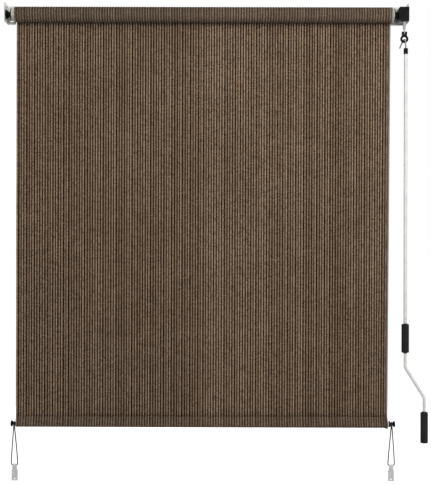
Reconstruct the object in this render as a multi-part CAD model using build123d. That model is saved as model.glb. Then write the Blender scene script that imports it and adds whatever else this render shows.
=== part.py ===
from build123d import *
from math import acos, atan, cos, degrees, pi, radians, sin, sqrt, tan
import os

# Outdoor roller shade for a wall, worked by a hand crank.
# Millimetres. X runs to the right, Y into the wall, Z up.
# The origin is the centre of the rectangle of the four wall slots, on the wall's surface.

# Brackets, bent from sheet
overall_width = 1400.0
sheet = 2.0
bracket_depth = 64.0
bracket_height = 64.5
left_flange_width = 30.0
right_flange_width = 56.0
corner_radius = 5.0
bend_radius = 3.0
slot_inset = 16.0
slot_rise = 20.0
slot_length = 12.0
slot_width = 6.0

# Roller and its place between the brackets
roller_standoff = 40.0
roller_drop = 5.4
tube_diameter = 48.0
tube_wall = 1.5
idler_side_space = 24.0
drive_side_space = 50.0
cloth_inset_left = 10.0
cloth_inset_right = 5.0

# Cloth: its turns on the roller, its ribbed hanging part and its hem
cloth = 0.8
turn_gap = 0.1
half_turns = 5
turn_seat_gap = 0.15
rib_pitch = 9.26
rib_crest = 4.0
rib_slope = 0.9
rib_height = 0.8
selvage = 12.0
soft_gap = 0.3
hem_top_drop = 1403.1
hem_height = 35.6
hem_wall = 1.0
hem_slack = 0.4
hem_seam = 3.0
hem_edge_in = 10.5

# Bottom bar with its end spools
bar_diameter = 20.0
bar_wall = 1.2
bar_start_past_hem = 4.7
bar_end_past_hem = 6.1
spool_diameter = 21.0
spool_flange = 6.4
spool_waist_diameter = 9.0
spool_waist_width = 9.0
spool_bevel = 1.6
spigot_length = 20.0
push_clearance = 0.1

# Elastic loops and the wall hooks that hang in them
elastic_diameter = 3.8
elastic_rest_length = 147.0
elastic_spread = 12.4
elastic_flat = 9.0
elastic_corner_rise = 5.5
elastic_waist_drop = 4.0
elastic_lane_gap = 0.4
elastic_bend = 30.0
arc_share = 0.45
elastic_ends_gap = 0.05
loop_clearance = 0.35
hook_sheet = 1.5
hook_width = 21.0
hook_height = 59.5
hook_tongue_width = 15.0
hook_tongue_drop = 11.0
hook_shoulder_drop = 18.0
hook_hole_diameter = 5.0
hook_hole_rise = 6.5
hook_foot_width = 25.0
hook_foot_height = 3.0

# Running and seating clearances, on the radius
running = 0.05
seat = 0.1
axial = 0.3

# Idler end: bush on the left bracket, plug and pin in the tube
bush_diameter = 32.0
bush_base = 4.0
bush_nose_diameter = 24.0
bush_length = 9.5
bush_boss_diameter = 14.0
idler_pin_diameter = 8.0
idler_pin_depth = 30.0
plug_flange_diameter = 46.0
plug_flange = 3.0
plug_cone = 4.0
plug_spigot = 26.0
idler_neck_diameter = 18.0
drive_neck_diameter = 24.0

# Worm gear: a three-start worm and a twelve-tooth wheel on crossed axes
gear_module = 2.0
wheel_teeth = 12
worm_starts = 3
worm_pitch_diameter = 16.0
pressure_angle = 20.0
wheel_addendum = 1.8
worm_addendum = 1.4
tip_clearance = 0.5
flank_clearance = 0.2
wheel_width = 12.0
worm_length = 22.0
worm_inset = 16.5

# Wheel shaft and worm shaft
square_shaft = 10.0
square_length = 22.0
wheel_journal_diameter = 16.0
wheel_end_journal_diameter = 10.0
washer_diameter = 24.0
washer = 1.2
worm_top_journal_diameter = 8.0
worm_top_journal = 4.0
worm_shoulder_diameter = 12.0
worm_shoulder = 4.4
worm_journal_diameter = 10.0
worm_spigot_diameter = 7.0
worm_spigot = 17.0

# Gear housing
housing_width = 35.0
housing_wall = 3.2
housing_room = 1.0
housing_top = 17.0
housing_bottom = 31.0
housing_chamfer = 4.0
housing_edge = 1.2
cover = 3.4
worm_bush_diameter = 22.0
worm_bush_flange = 2.0
worm_bush_flange_diameter = 26.0

# Screws
bracket_screw_diameter = 4.0
bracket_screw_head = 8.0
bracket_screw_length = 12.0
cover_screw_diameter = 3.0
cover_screw_head = 5.6
cover_screw_length = 10.0
screw_slot = 1.0
bush_screw_offset = 11.0
corner_screw_inset = 7.0
corner_screw_drop = 5.8
front_screw_setback = 8.0
front_screw_drop = 3.5
cover_screw_inset = 4.5

# Yoke, eye and their pin
yoke_head_diameter = 13.0
yoke_length = 27.0
yoke_neck_diameter = 8.0
yoke_pin_diameter = 3.0
yoke_pin_drop = 9.0
clevis_drop = 39.0
tongue = 3.0
tongue_radius = 4.8
eye_cheek = 6.6
cheek_radius = 6.2
eye_pin_diameter = 4.0
eye_pin_head = 6.4
eye_pin_head_height = 1.0
eye_drop = 19.6
eye_outer_diameter = 28.0
eye_hole_diameter = 13.0
eye_depth = 8.0
eye_round = 3.0

# Crank
hook_wire = 5.0
hook_clearance = 0.4
hook_side = 2.3
hook_tip_out = 18.5
hook_tip_drop = 28.5
hook_top_flat = 1.0
crank_offset_x = 3.8
ferrule_diameter = 15.0
ferrule_top_drop = 53.0
ferrule_length = 20.5
ferrule_bore_depth = 12.0
ferrule_pin_diameter = 3.0
crank_tube_diameter = 12.0
crank_tube_wall = 1.0
crank_tube_length = 1034.0
crank_tube_lap = 7.0
crank_rod_lap = 60.0
crank_rod_straight = 53.2
crank_offset = 66.0
crank_slant_drop = 105.5
crank_bend_radius = 30.0
grip_diameter = 26.0
grip_edge = 2.0
upper_grip_length = 97.5
lower_grip_drop = 49.5
lower_grip_length = 102.5
collar = 2.0
collar_rim = 2.4
end_cap = 3.0

# Places worked out from the sizes above
half_width = overall_width / 2
plate_inside = half_width - sheet
roller_y = -roller_standoff
roller_z = -roller_drop
tube_left = -half_width + idler_side_space
tube_right = half_width - drive_side_space
cloth_left = tube_left + cloth_inset_left
cloth_right = tube_right - cloth_inset_right
turn_pitch = cloth + turn_gap
first_turn_radius = tube_diameter / 2 + turn_seat_gap + turn_pitch / 2
last_turn_radius = first_turn_radius + (half_turns - 1) * turn_pitch / 2
roll_radius = last_turn_radius + cloth
panel_front = roller_y + roll_radius + soft_gap
panel_back = panel_front + cloth + rib_height
panel_middle = (panel_front + panel_back) / 2
hem_top = roller_z - hem_top_drop
hem_right = cloth_right - hem_edge_in
hem_inner_radius = spool_diameter / 2 + hem_slack
hem_outer_radius = hem_inner_radius + hem_wall
bar_z = hem_top - hem_height + hem_outer_radius
bar_left = cloth_left + bar_start_past_hem
bar_right = hem_right + bar_end_past_hem
spool_width = 2 * spool_flange + spool_waist_width
worm_x = half_width - worm_inset
wheel_pitch_radius = gear_module * wheel_teeth / 2
worm_pitch_radius = worm_pitch_diameter / 2
worm_y = roller_y - wheel_pitch_radius - worm_pitch_radius
worm_top = roller_z + worm_length / 2
worm_bottom = roller_z - worm_length / 2
worm_lead = pi * gear_module * worm_starts
wheel_tip_radius = wheel_pitch_radius + wheel_addendum
wheel_root_radius = wheel_pitch_radius - worm_addendum - tip_clearance
worm_tip_radius = worm_pitch_radius + worm_addendum
worm_root_radius = worm_pitch_radius - wheel_addendum - tip_clearance
housing_left = half_width - sheet - housing_width
cover_left = plate_inside - cover
housing_front = worm_y - worm_tip_radius - housing_room - housing_wall
housing_back = roller_y + wheel_tip_radius + housing_room + housing_wall + 2 * housing_room
worm_room = worm_tip_radius + housing_room
wheel_room = wheel_tip_radius + housing_room
worm_room_top = worm_top + worm_shoulder
worm_room_bottom = worm_bottom - worm_shoulder
wheel_left = worm_x - wheel_width / 2
wheel_right = worm_x + wheel_width / 2
wheel_seat = wheel_left - washer - axial
bush_bottom = -housing_bottom - worm_bush_flange
yoke_top = bush_bottom - axial
clevis_z = yoke_top - clevis_drop
eye_z = clevis_z - eye_drop
bend_radius_of_hook = eye_depth / 2 + hook_clearance + hook_wire / 2
hook_reach = eye_hole_diameter / 2 - hook_wire / 2 - hook_clearance
hook_top_z = eye_z - sqrt(hook_reach**2 - hook_side**2)
crank_x = worm_x + crank_offset_x
crank_y = worm_y - bend_radius_of_hook
ferrule_top = clevis_z - ferrule_top_drop
tube_top = ferrule_top - ferrule_length + crank_tube_lap
tube_bottom = tube_top - crank_tube_length
rod_radius = crank_tube_diameter / 2 - crank_tube_wall - running
bend_one_z = tube_bottom - crank_rod_straight
bend_two_z = bend_one_z - crank_slant_drop
handle_x = crank_x + crank_offset
upper_grip_bottom = tube_bottom - collar
upper_grip_top = upper_grip_bottom + upper_grip_length
lower_grip_top = bend_two_z - lower_grip_drop
lower_grip_bottom = lower_grip_top - lower_grip_length
rod_bottom = lower_grip_bottom - axial - end_cap / 2

housing_screw_places = [
    (housing_back - corner_screw_inset, housing_top - corner_screw_drop),
    (housing_back - corner_screw_inset, -housing_bottom + corner_screw_inset),
    (worm_y + front_screw_setback, housing_top - front_screw_drop),
]
cover_screw_places = [
    (roller_y - cover_screw_diameter, housing_top - cover_screw_inset),
    (roller_y - cover_screw_diameter, -housing_bottom + cover_screw_inset),
]


def along_x(start, end, radius, y, z):
    """Round bar between two X positions."""
    bar = Cylinder(radius, end - start, align=(Align.CENTER, Align.CENTER, Align.MIN))
    return Pos(start, y, z) * Rot(0, 90, 0) * bar


def along_z(bottom, top, radius, x, y):
    """Round bar between two heights."""
    bar = Cylinder(radius, top - bottom, align=(Align.CENTER, Align.CENTER, Align.MIN))
    return Pos(x, y, bottom) * bar


def turned_x(points, y, z):
    """Solid of revolution about a line along X, from (x, radius) points."""
    face = make_face(Polyline(*points, close=True))
    return Pos(0, y, z) * revolve(face, Axis.X)


def turned_z(points, x, y):
    """Solid of revolution about a line along Z, from (radius, z) points."""
    face = make_face(Plane.XZ * Polyline(*points, close=True))
    return Pos(x, y, 0) * revolve(face, Axis.Z)


def span_box(low, high):
    """Box between two opposite corners."""
    size = [b - a for a, b in zip(low, high)]
    return Pos(*low) * Box(*size, align=(Align.MIN, Align.MIN, Align.MIN))


def wire_solid(path, radius):
    """Round wire or cord swept along a path."""
    section = Plane(origin=path @ 0, z_dir=path % 0) * Circle(radius)
    return sweep(section, path=path)


def countersunk_screw(face_x, direction, y, z, diameter, head, length):
    """Slotted flat-head screw whose head is flush with the plane x = face_x."""
    depth = (head - diameter) / 2
    points = [
        (0, 0),
        (0, head / 2),
        (depth, diameter / 2),
        (length - diameter / 2, diameter / 2),
        (length, diameter / 4),
        (length, 0),
    ]
    points = [(face_x + direction * x, r) for x, r in points]
    slot = Pos(face_x, y, z) * Box(depth, 2 * head, screw_slot)
    return turned_x(points, y, z) - slot


def countersink(face_x, direction, y, z, diameter, head, length):
    """Clearance for a flat-head screw, to be cut from what it passes through."""
    depth = (head - diameter) / 2
    points = [
        (0, 0),
        (0, head / 2 + seat),
        (depth, diameter / 2 + seat),
        (length + axial, diameter / 2 + seat),
        (length + axial, 0),
    ]
    points = [(face_x + direction * x, r) for x, r in points]
    return turned_x(points, y, z)


def bush_screw_places():
    """Two screws of the idler bush, above and below the roller's axis."""
    return [(roller_y, roller_z + side * bush_screw_offset) for side in (-1, 1)]


def bracket(side, flange_width):
    """Bracket bent from one sheet: a wall flange and a side plate square to it."""
    outer = side * half_width
    inner_edge = outer - side * flange_width
    plan = Polyline(
        (inner_edge, 0),
        (outer, 0),
        (outer, -bracket_depth),
        (outer - side * sheet, -bracket_depth),
        (outer - side * sheet, -sheet),
        (inner_edge, -sheet),
        close=True,
    )
    blank = extrude(make_face(plan), amount=bracket_height / 2, both=True)
    upright = blank.edges().filter_by(Axis.Z)
    bend_outside = upright.sort_by_distance((outer, 0, 0))[0]
    bend_inside = upright.sort_by_distance((outer - side * sheet, -sheet, 0))[0]
    blank = fillet(bend_outside, bend_radius)
    bend_inside = blank.edges().filter_by(Axis.Z).sort_by_distance(bend_inside.center())[0]
    blank = fillet(bend_inside, bend_radius - sheet)
    free = []
    for height in (-bracket_height / 2, bracket_height / 2):
        for place in ((inner_edge, -sheet / 2, height), (outer - side * sheet / 2, -bracket_depth, height)):
            free.append(blank.edges().sort_by_distance(place)[0])
    blank = fillet(free, corner_radius)
    slot = SlotOverall(slot_length, slot_width)
    for height in (-slot_rise, slot_rise):
        place = Plane((outer - side * slot_inset, 0, height), x_dir=(1, 0, 0), z_dir=(0, -1, 0))
        blank -= extrude(place * slot, amount=2 * sheet, both=True)
    return blank


def left_bracket():
    blank = bracket(-1, left_flange_width)
    boss = bush_boss_diameter / 2 + seat
    blank -= along_x(-half_width - sheet, -plate_inside + sheet, boss, roller_y, roller_z)
    for y, z in bush_screw_places():
        blank -= countersink(
            -half_width, 1, y, z, bracket_screw_diameter, bracket_screw_head, bracket_screw_length
        )
    return blank


def right_bracket():
    blank = bracket(1, right_flange_width)
    for y, z in housing_screw_places:
        blank -= countersink(
            half_width, -1, y, z, bracket_screw_diameter, bracket_screw_head, bracket_screw_length
        )
    return blank


def idler_bush():
    """Moulded bush on the left bracket, with a bore for the roller's pin."""
    base = -plate_inside
    nose = base + bush_length
    bore = idler_pin_diameter / 2 + running
    body = turned_x(
        [
            (-half_width, bore),
            (-half_width, bush_boss_diameter / 2),
            (base, bush_boss_diameter / 2),
            (base, bush_diameter / 2),
            (base + bush_base, bush_diameter / 2),
            (nose, bush_nose_diameter / 2),
            (nose, bore),
        ],
        roller_y,
        roller_z,
    )
    for y, z in bush_screw_places():
        body -= countersink(
            -half_width, 1, y, z, bracket_screw_diameter, bracket_screw_head, bush_length - sheet
        )
    return body


def bush_screws():
    length = bush_length - sheet
    return [
        countersunk_screw(-half_width, 1, y, z, bracket_screw_diameter, bracket_screw_head, length)
        for y, z in bush_screw_places()
    ]


def housing_screws():
    return [
        countersunk_screw(
            half_width, -1, y, z, bracket_screw_diameter, bracket_screw_head, bracket_screw_length
        )
        for y, z in housing_screw_places
    ]


def cover_screws():
    return [
        countersunk_screw(
            plate_inside, -1, y, z, cover_screw_diameter, cover_screw_head, cover_screw_length
        )
        for y, z in cover_screw_places
    ]


def gear_housing():
    """Moulded gear housing, open towards the bracket, where its cover closes it."""
    body = span_box(
        (housing_left, housing_front, -housing_bottom), (cover_left, housing_back, housing_top)
    )
    body = chamfer(body.faces().sort_by(Axis.X)[0].edges(), housing_chamfer)
    body = fillet(body.edges().filter_by(Axis.X), housing_edge)
    body -= along_x(wheel_seat, cover_left, wheel_room, roller_y, roller_z)
    body -= span_box(
        (worm_x - worm_room, worm_y - worm_room, worm_room_bottom),
        (cover_left, worm_y + worm_room, worm_room_top),
    )
    bore = wheel_journal_diameter / 2 + running
    body -= along_x(housing_left, wheel_seat, bore, roller_y, roller_z)
    top_bore = worm_top_journal_diameter / 2 + running
    body -= along_z(worm_room_top, worm_room_top + worm_top_journal, top_bore, worm_x, worm_y)
    bush_seat = worm_bush_diameter / 2
    body -= along_z(-housing_bottom, worm_room_bottom, bush_seat, worm_x, worm_y)
    for y, z in housing_screw_places:
        body -= countersink(
            half_width, -1, y, z, bracket_screw_diameter, bracket_screw_head, bracket_screw_length
        )
    for y, z in cover_screw_places:
        body -= countersink(
            plate_inside, -1, y, z, cover_screw_diameter, cover_screw_head, cover_screw_length
        )
    return body


def gear_cover():
    """Flat cover between the housing and the bracket's side plate."""
    body = span_box(
        (cover_left, housing_front, -housing_bottom), (plate_inside, housing_back, housing_top)
    )
    body = fillet(body.edges().filter_by(Axis.X), housing_edge)
    bore = wheel_end_journal_diameter / 2 + running
    body -= along_x(cover_left, plate_inside, bore, roller_y, roller_z)
    for y, z in housing_screw_places:
        body -= along_x(cover_left, plate_inside, bracket_screw_diameter / 2 + seat, y, z)
    for y, z in cover_screw_places:
        body -= countersink(
            plate_inside, -1, y, z, cover_screw_diameter, cover_screw_head, cover_screw_length
        )
    return body


def worm_bush():
    """Flanged bush that closes the bottom of the housing round the worm's shaft."""
    bore = worm_journal_diameter / 2 + running
    top = worm_room_bottom - axial
    return turned_z(
        [
            (bore, bush_bottom),
            (worm_bush_flange_diameter / 2, bush_bottom),
            (worm_bush_flange_diameter / 2, -housing_bottom),
            (worm_bush_diameter / 2, -housing_bottom),
            (worm_bush_diameter / 2, top),
            (bore, top),
        ],
        worm_x,
        worm_y,
    )


def polar(radius, angle):
    return (radius * cos(radians(angle)), radius * sin(radians(angle)))


def involute(angle):
    return tan(angle) - angle


def wheel_section():
    """Wheel's outline across its axis, with a gap that points along the first axis."""
    base_radius = wheel_pitch_radius * cos(radians(pressure_angle))
    thickness = pi * gear_module / 2 - flank_clearance
    at_pitch = thickness / (2 * wheel_pitch_radius) + involute(radians(pressure_angle))
    step = 360 / wheel_teeth

    def half_angle(radius):
        return degrees(at_pitch - involute(acos(min(1.0, base_radius / radius))))

    middle_radius = (base_radius + wheel_tip_radius) / 2
    edges = []
    for tooth in range(wheel_teeth):
        centre = (tooth + 0.5) * step
        low = half_angle(base_radius)
        middle = half_angle(middle_radius)
        tip = half_angle(wheel_tip_radius)
        edges += [
            Line(polar(wheel_root_radius, centre - low), polar(base_radius, centre - low)),
            ThreePointArc(
                polar(base_radius, centre - low),
                polar(middle_radius, centre - middle),
                polar(wheel_tip_radius, centre - tip),
            ),
            ThreePointArc(
                polar(wheel_tip_radius, centre - tip),
                polar(wheel_tip_radius, centre),
                polar(wheel_tip_radius, centre + tip),
            ),
            ThreePointArc(
                polar(wheel_tip_radius, centre + tip),
                polar(middle_radius, centre + middle),
                polar(base_radius, centre + low),
            ),
            Line(polar(base_radius, centre + low), polar(wheel_root_radius, centre + low)),
            ThreePointArc(
                polar(wheel_root_radius, centre + low),
                polar(wheel_root_radius, centre + step / 2),
                polar(wheel_root_radius, centre + step - low),
            ),
        ]
    return make_face(edges)


def worm_section():
    """Worm's outline across its axis, with a crest that points along the first axis."""
    half_thickness = (pi * gear_module / 2 - flank_clearance) / 2
    slope = tan(radians(pressure_angle))
    to_angle = 360 / worm_lead
    tip = (half_thickness - worm_addendum * slope) * to_angle
    root = (half_thickness + (worm_pitch_radius - worm_root_radius) * slope) * to_angle
    step = 360 / worm_starts
    middle_radius = (worm_root_radius + worm_tip_radius) / 2
    edges = []
    for start in range(worm_starts):
        centre = start * step
        edges += [
            ThreePointArc(
                polar(worm_tip_radius, centre - tip),
                polar(worm_tip_radius, centre),
                polar(worm_tip_radius, centre + tip),
            ),
            ThreePointArc(
                polar(worm_tip_radius, centre + tip),
                polar(middle_radius, centre + (tip + root) / 2),
                polar(worm_root_radius, centre + root),
            ),
            ThreePointArc(
                polar(worm_root_radius, centre + root),
                polar(worm_root_radius, centre + step / 2),
                polar(worm_root_radius, centre + step - root),
            ),
            ThreePointArc(
                polar(worm_root_radius, centre + step - root),
                polar(middle_radius, centre + step - (tip + root) / 2),
                polar(worm_tip_radius, centre + step - tip),
            ),
        ]
    return make_face(edges)


def worm_wheel():
    """Helical wheel with its two journals and the square that drives the roller."""
    lead_angle = atan(worm_starts * gear_module / worm_pitch_diameter)
    twist = degrees(tan(lead_angle) * wheel_width / wheel_pitch_radius)
    plane = Plane((wheel_left, roller_y, roller_z), x_dir=(0, -1, 0), z_dir=(1, 0, 0))
    section = plane * (Rot(0, 0, -twist / 2) * wheel_section())
    teeth = Solid.extrude_linear_with_rotation(
        section.face(), (wheel_left, roller_y, roller_z), (wheel_width, 0, 0), twist
    )
    journal_left = housing_left + axial
    body = teeth + along_x(
        journal_left, wheel_left, wheel_journal_diameter / 2, roller_y, roller_z
    )
    body += along_x(
        wheel_right, plate_inside - housing_room, wheel_end_journal_diameter / 2, roller_y, roller_z
    )
    half = square_shaft / 2
    body += span_box(
        (journal_left - square_length, roller_y - half, roller_z - half),
        (journal_left, roller_y + half, roller_z + half),
    )
    return body


def wheel_washer():
    """Thrust washer between the wheel and the housing's inner wall."""
    ring = along_x(wheel_seat, wheel_seat + washer, washer_diameter / 2, roller_y, roller_z)
    bore = wheel_journal_diameter / 2 + running
    return ring - along_x(wheel_seat, wheel_seat + washer, bore, roller_y, roller_z)


def worm_shaft():
    """Worm with its journals and the spigot that the yoke is pinned to."""
    crest_at_bottom = 90 - 360 * (roller_z - worm_bottom) / worm_lead
    plane = Plane((worm_x, worm_y, worm_bottom), x_dir=(1, 0, 0), z_dir=(0, 0, 1))
    section = plane * (Rot(0, 0, crest_at_bottom) * worm_section())
    thread = Solid.extrude_linear_with_rotation(
        section.face(),
        (worm_x, worm_y, worm_bottom),
        (0, 0, worm_length),
        360 * worm_length / worm_lead,
    )
    top = worm_room_top + worm_top_journal - axial
    body = thread + along_z(worm_top, top, worm_top_journal_diameter / 2, worm_x, worm_y)
    shoulder = worm_shoulder_diameter / 2
    body += along_z(worm_room_bottom, worm_bottom, shoulder, worm_x, worm_y)
    journal = worm_journal_diameter / 2
    body += along_z(yoke_top, worm_room_bottom, journal, worm_x, worm_y)
    spigot = worm_spigot_diameter / 2
    body += along_z(yoke_top - worm_spigot, yoke_top, spigot, worm_x, worm_y)
    pin_bore = yoke_pin_diameter / 2
    return body - along_x(
        worm_x - yoke_head_diameter, worm_x + yoke_head_diameter, pin_bore, worm_y,
        yoke_top - yoke_pin_drop,
    )


def yoke_radius_at(drop):
    """Radius of the yoke's tapered neck at a depth below its top."""
    head = yoke_head_diameter / 2
    return head + (yoke_neck_diameter / 2 - head) * drop / yoke_length


def drive_yoke():
    """Tapered link on the worm's shaft, with a flat tongue for the eye's pin."""
    neck = yoke_neck_diameter / 2
    bottom = yoke_top - yoke_length
    bore = worm_spigot_diameter / 2
    body = turned_z(
        [(0, bottom), (neck, bottom), (yoke_head_diameter / 2, yoke_top), (0, yoke_top)],
        worm_x,
        worm_y,
    )
    half = tongue / 2
    body += span_box(
        (worm_x - half, worm_y - tongue_radius, clevis_z),
        (worm_x + half, worm_y + tongue_radius, bottom + neck),
    )
    body += along_x(worm_x - half, worm_x + half, tongue_radius, worm_y, clevis_z)
    body -= along_z(yoke_top - worm_spigot, yoke_top, bore, worm_x, worm_y)
    body -= along_x(
        worm_x - half, worm_x + half, eye_pin_diameter / 2 + running, worm_y, clevis_z
    )
    return body - along_x(
        worm_x - yoke_head_diameter, worm_x + yoke_head_diameter, yoke_pin_diameter / 2, worm_y,
        yoke_top - yoke_pin_drop,
    )


def yoke_pin():
    reach = yoke_radius_at(yoke_pin_drop) + axial
    return along_x(
        worm_x - reach, worm_x + reach, yoke_pin_diameter / 2, worm_y, yoke_top - yoke_pin_drop
    )


def crank_eye():
    """Moulded eye: two cheeks round the yoke's tongue, and a ring for the crank's hook."""
    half = tongue / 2 + axial + eye_cheek
    body = along_x(worm_x - half, worm_x + half, cheek_radius, worm_y, clevis_z)
    body += span_box(
        (worm_x - half, worm_y - eye_depth / 2, eye_z + eye_hole_diameter / 2),
        (worm_x + half, worm_y + eye_depth / 2, clevis_z),
    )
    ring_plane = Plane((worm_x, worm_y, eye_z), x_dir=(1, 0, 0), z_dir=(0, -1, 0))
    ring = extrude(ring_plane * Circle(eye_outer_diameter / 2), amount=eye_depth / 2, both=True)
    body += fillet(ring.edges().filter_by(GeomType.CIRCLE), eye_round)
    body -= extrude(ring_plane * Circle(eye_hole_diameter / 2), amount=eye_depth, both=True)
    slot = tongue / 2 + axial
    body -= along_x(
        worm_x - slot, worm_x + slot, cheek_radius + 2 * axial, worm_y, clevis_z
    )
    body -= along_x(worm_x - half, worm_x + half, eye_pin_diameter / 2, worm_y, clevis_z)
    circles = body.edges().filter_by(GeomType.CIRCLE)
    rim = [e for e in circles if abs(e.radius - eye_hole_diameter / 2) < seat]
    return fillet(rim, eye_round)


def eye_pin():
    """Rivet through the eye's cheeks and the yoke's tongue."""
    half = tongue / 2 + axial + eye_cheek
    body = along_x(worm_x - half, worm_x + half, eye_pin_diameter / 2, worm_y, clevis_z)
    for side in (-1, 1):
        face = worm_x + side * half
        tip = face + side * eye_pin_head_height
        body += along_x(min(face, tip), max(face, tip), eye_pin_head / 2, worm_y, clevis_z)
    return body


def ferrule_pin_bar():
    """The pin through the ferrule and the hook's shank, as a plain bar."""
    pin_z = ferrule_top - ferrule_bore_depth / 2
    reach = ferrule_diameter / 2
    return along_x(crank_x - reach, crank_x + reach, ferrule_pin_diameter / 2, crank_y, pin_z)


def crank_hook():
    """Hook of bent wire that the crank hangs by, over the eye's lower rim."""
    front = crank_y
    back = worm_y + bend_radius_of_hook
    shank_x = worm_x + hook_side
    over_rim = bend_radius_of_hook - hook_top_flat
    path = FilletPolyline(
        (crank_x, front, ferrule_top - ferrule_bore_depth),
        (crank_x, front, ferrule_top),
        (shank_x, front, hook_top_z),
        (worm_x - hook_side, back, hook_top_z),
        (crank_x - hook_tip_out, back, hook_top_z - hook_tip_drop),
        radius=[hook_wire, over_rim, over_rim],
    )
    return wire_solid(path, hook_wire / 2) - ferrule_pin_bar()


def crank_ferrule():
    """Moulded ferrule that joins the hook to the crank's tube."""
    outer = ferrule_diameter / 2
    bottom = ferrule_top - ferrule_length
    edge = housing_edge
    body = turned_z(
        [
            (0, bottom),
            (outer - edge / 2, bottom),
            (outer, bottom + edge / 2),
            (outer, ferrule_top - edge),
            (outer - edge, ferrule_top),
            (0, ferrule_top),
        ],
        crank_x,
        crank_y,
    )
    body -= along_z(
        ferrule_top - ferrule_bore_depth, ferrule_top, hook_wire / 2 + running, crank_x, crank_y
    )
    body -= along_z(bottom, tube_top, crank_tube_diameter / 2, crank_x, crank_y)
    return body - ferrule_pin_bar()


def crank_tube():
    outer = crank_tube_diameter / 2
    body = along_z(tube_bottom, tube_top, outer, crank_x, crank_y)
    return body - along_z(tube_bottom, tube_top, outer - crank_tube_wall, crank_x, crank_y)


def crank_rod():
    """Bent rod of the crank: its top sits in the tube, its bottom carries the lower grip."""
    path = FilletPolyline(
        (crank_x, crank_y, tube_bottom + crank_rod_lap),
        (crank_x, crank_y, bend_one_z),
        (handle_x, crank_y, bend_two_z),
        (handle_x, crank_y, rod_bottom),
        radius=crank_bend_radius,
    )
    return wire_solid(path, rod_radius)


def grip(top, bottom, bore, x):
    """Moulded hand grip that turns freely on the crank."""
    outer = grip_diameter / 2
    section = Plane.XZ * make_face(
        Polyline((bore, bottom), (outer, bottom), (outer, top), (bore, top), close=True)
    )
    rim = section.vertices().sort_by(Axis.X)[-2:]
    return Pos(x, crank_y, 0) * revolve(fillet(rim, grip_edge), Axis.Z)


def upper_grip():
    return grip(upper_grip_top, upper_grip_bottom, crank_tube_diameter / 2 + running, crank_x)


def lower_grip():
    return grip(lower_grip_top, lower_grip_bottom, rod_radius + running, handle_x)


def collar_ring(bottom, inner, x):
    """Push-on collar that keeps a grip in place."""
    ring = along_z(bottom, bottom + collar, inner + collar_rim, x, crank_y)
    return ring - along_z(bottom, bottom + collar, inner, x, crank_y)


def grip_collars():
    tube_outer = crank_tube_diameter / 2
    return [
        collar_ring(upper_grip_top + axial, tube_outer, crank_x),
        collar_ring(upper_grip_bottom - axial - collar, rod_radius, crank_x),
        collar_ring(lower_grip_top + axial, rod_radius, handle_x),
    ]


def handle_cap():
    """Push-on cap on the rod's lower end, as wide as the grip above it."""
    top = lower_grip_bottom - axial
    body = along_z(top - end_cap, top, grip_diameter / 2, handle_x, crank_y)
    body = fillet(body.edges().filter_by(GeomType.CIRCLE).sort_by(Axis.Z)[0], grip_edge)
    return body - along_z(rod_bottom, top, rod_radius, handle_x, crank_y)


def roller_tube():
    outer = tube_diameter / 2
    body = along_x(tube_left, tube_right, outer, roller_y, roller_z)
    return body - along_x(tube_left, tube_right, outer - tube_wall, roller_y, roller_z)


def idler_plug():
    """Moulded plug in the tube's left end, tapering to a neck against the bush."""
    spigot = tube_diameter / 2 - tube_wall - push_clearance
    nose = -plate_inside + bush_length + axial
    return turned_x(
        [
            (tube_left + plug_spigot, idler_pin_diameter / 2),
            (tube_left + plug_spigot, spigot - housing_edge),
            (tube_left + plug_spigot - housing_edge, spigot),
            (tube_left, spigot),
            (tube_left, plug_flange_diameter / 2),
            (tube_left - plug_flange, plug_flange_diameter / 2),
            (tube_left - plug_flange - plug_cone, idler_neck_diameter / 2),
            (nose, idler_neck_diameter / 2),
            (nose, idler_pin_diameter / 2),
        ],
        roller_y,
        roller_z,
    )


def idler_pin():
    start = -half_width + axial
    end = tube_left + idler_pin_depth
    return along_x(start, end, idler_pin_diameter / 2, roller_y, roller_z)


def drive_plug():
    """Moulded plug in the tube's right end, with the square socket of the drive."""
    spigot = tube_diameter / 2 - tube_wall - push_clearance
    face = housing_left - axial
    body = turned_x(
        [
            (tube_right - plug_spigot, 0),
            (tube_right - plug_spigot, spigot - housing_edge),
            (tube_right - plug_spigot + housing_edge, spigot),
            (tube_right, spigot),
            (tube_right, plug_flange_diameter / 2),
            (tube_right + plug_flange, plug_flange_diameter / 2),
            (tube_right + plug_flange + plug_cone, drive_neck_diameter / 2),
            (face, drive_neck_diameter / 2),
            (face, 0),
        ],
        roller_y,
        roller_z,
    )
    half = square_shaft / 2 + seat
    return body - span_box(
        (housing_left - square_length - axial, roller_y - half, roller_z - half),
        (face, roller_y + half, roller_z + half),
    )


def cloth_roll():
    """The cloth's turns: one strip along a spiral of half-turn arcs, ending at the back."""
    outer_side = []
    inner_side = []
    side = 1
    centre = 0.0
    radius = last_turn_radius
    for turn in range(half_turns):
        for line, r in ((outer_side, radius + cloth), (inner_side, radius)):
            start = (centre + side * r, 0)
            top = (centre, side * r)
            end = (centre - side * r, 0)
            line.append(ThreePointArc(start, top, end))
        side = -side
        centre = centre + side * turn_pitch / 2 if turn % 2 == 0 else 0.0
        radius -= turn_pitch / 2
    caps = [
        Line(outer_side[0] @ 0, inner_side[0] @ 0),
        Line(outer_side[-1] @ 1, inner_side[-1] @ 1),
    ]
    plane = Plane((cloth_left, roller_y, roller_z), x_dir=(0, 1, 0), z_dir=(1, 0, 0))
    section = plane * make_face(outer_side + inner_side + caps)
    return extrude(section, amount=cloth_right - cloth_left)


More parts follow.
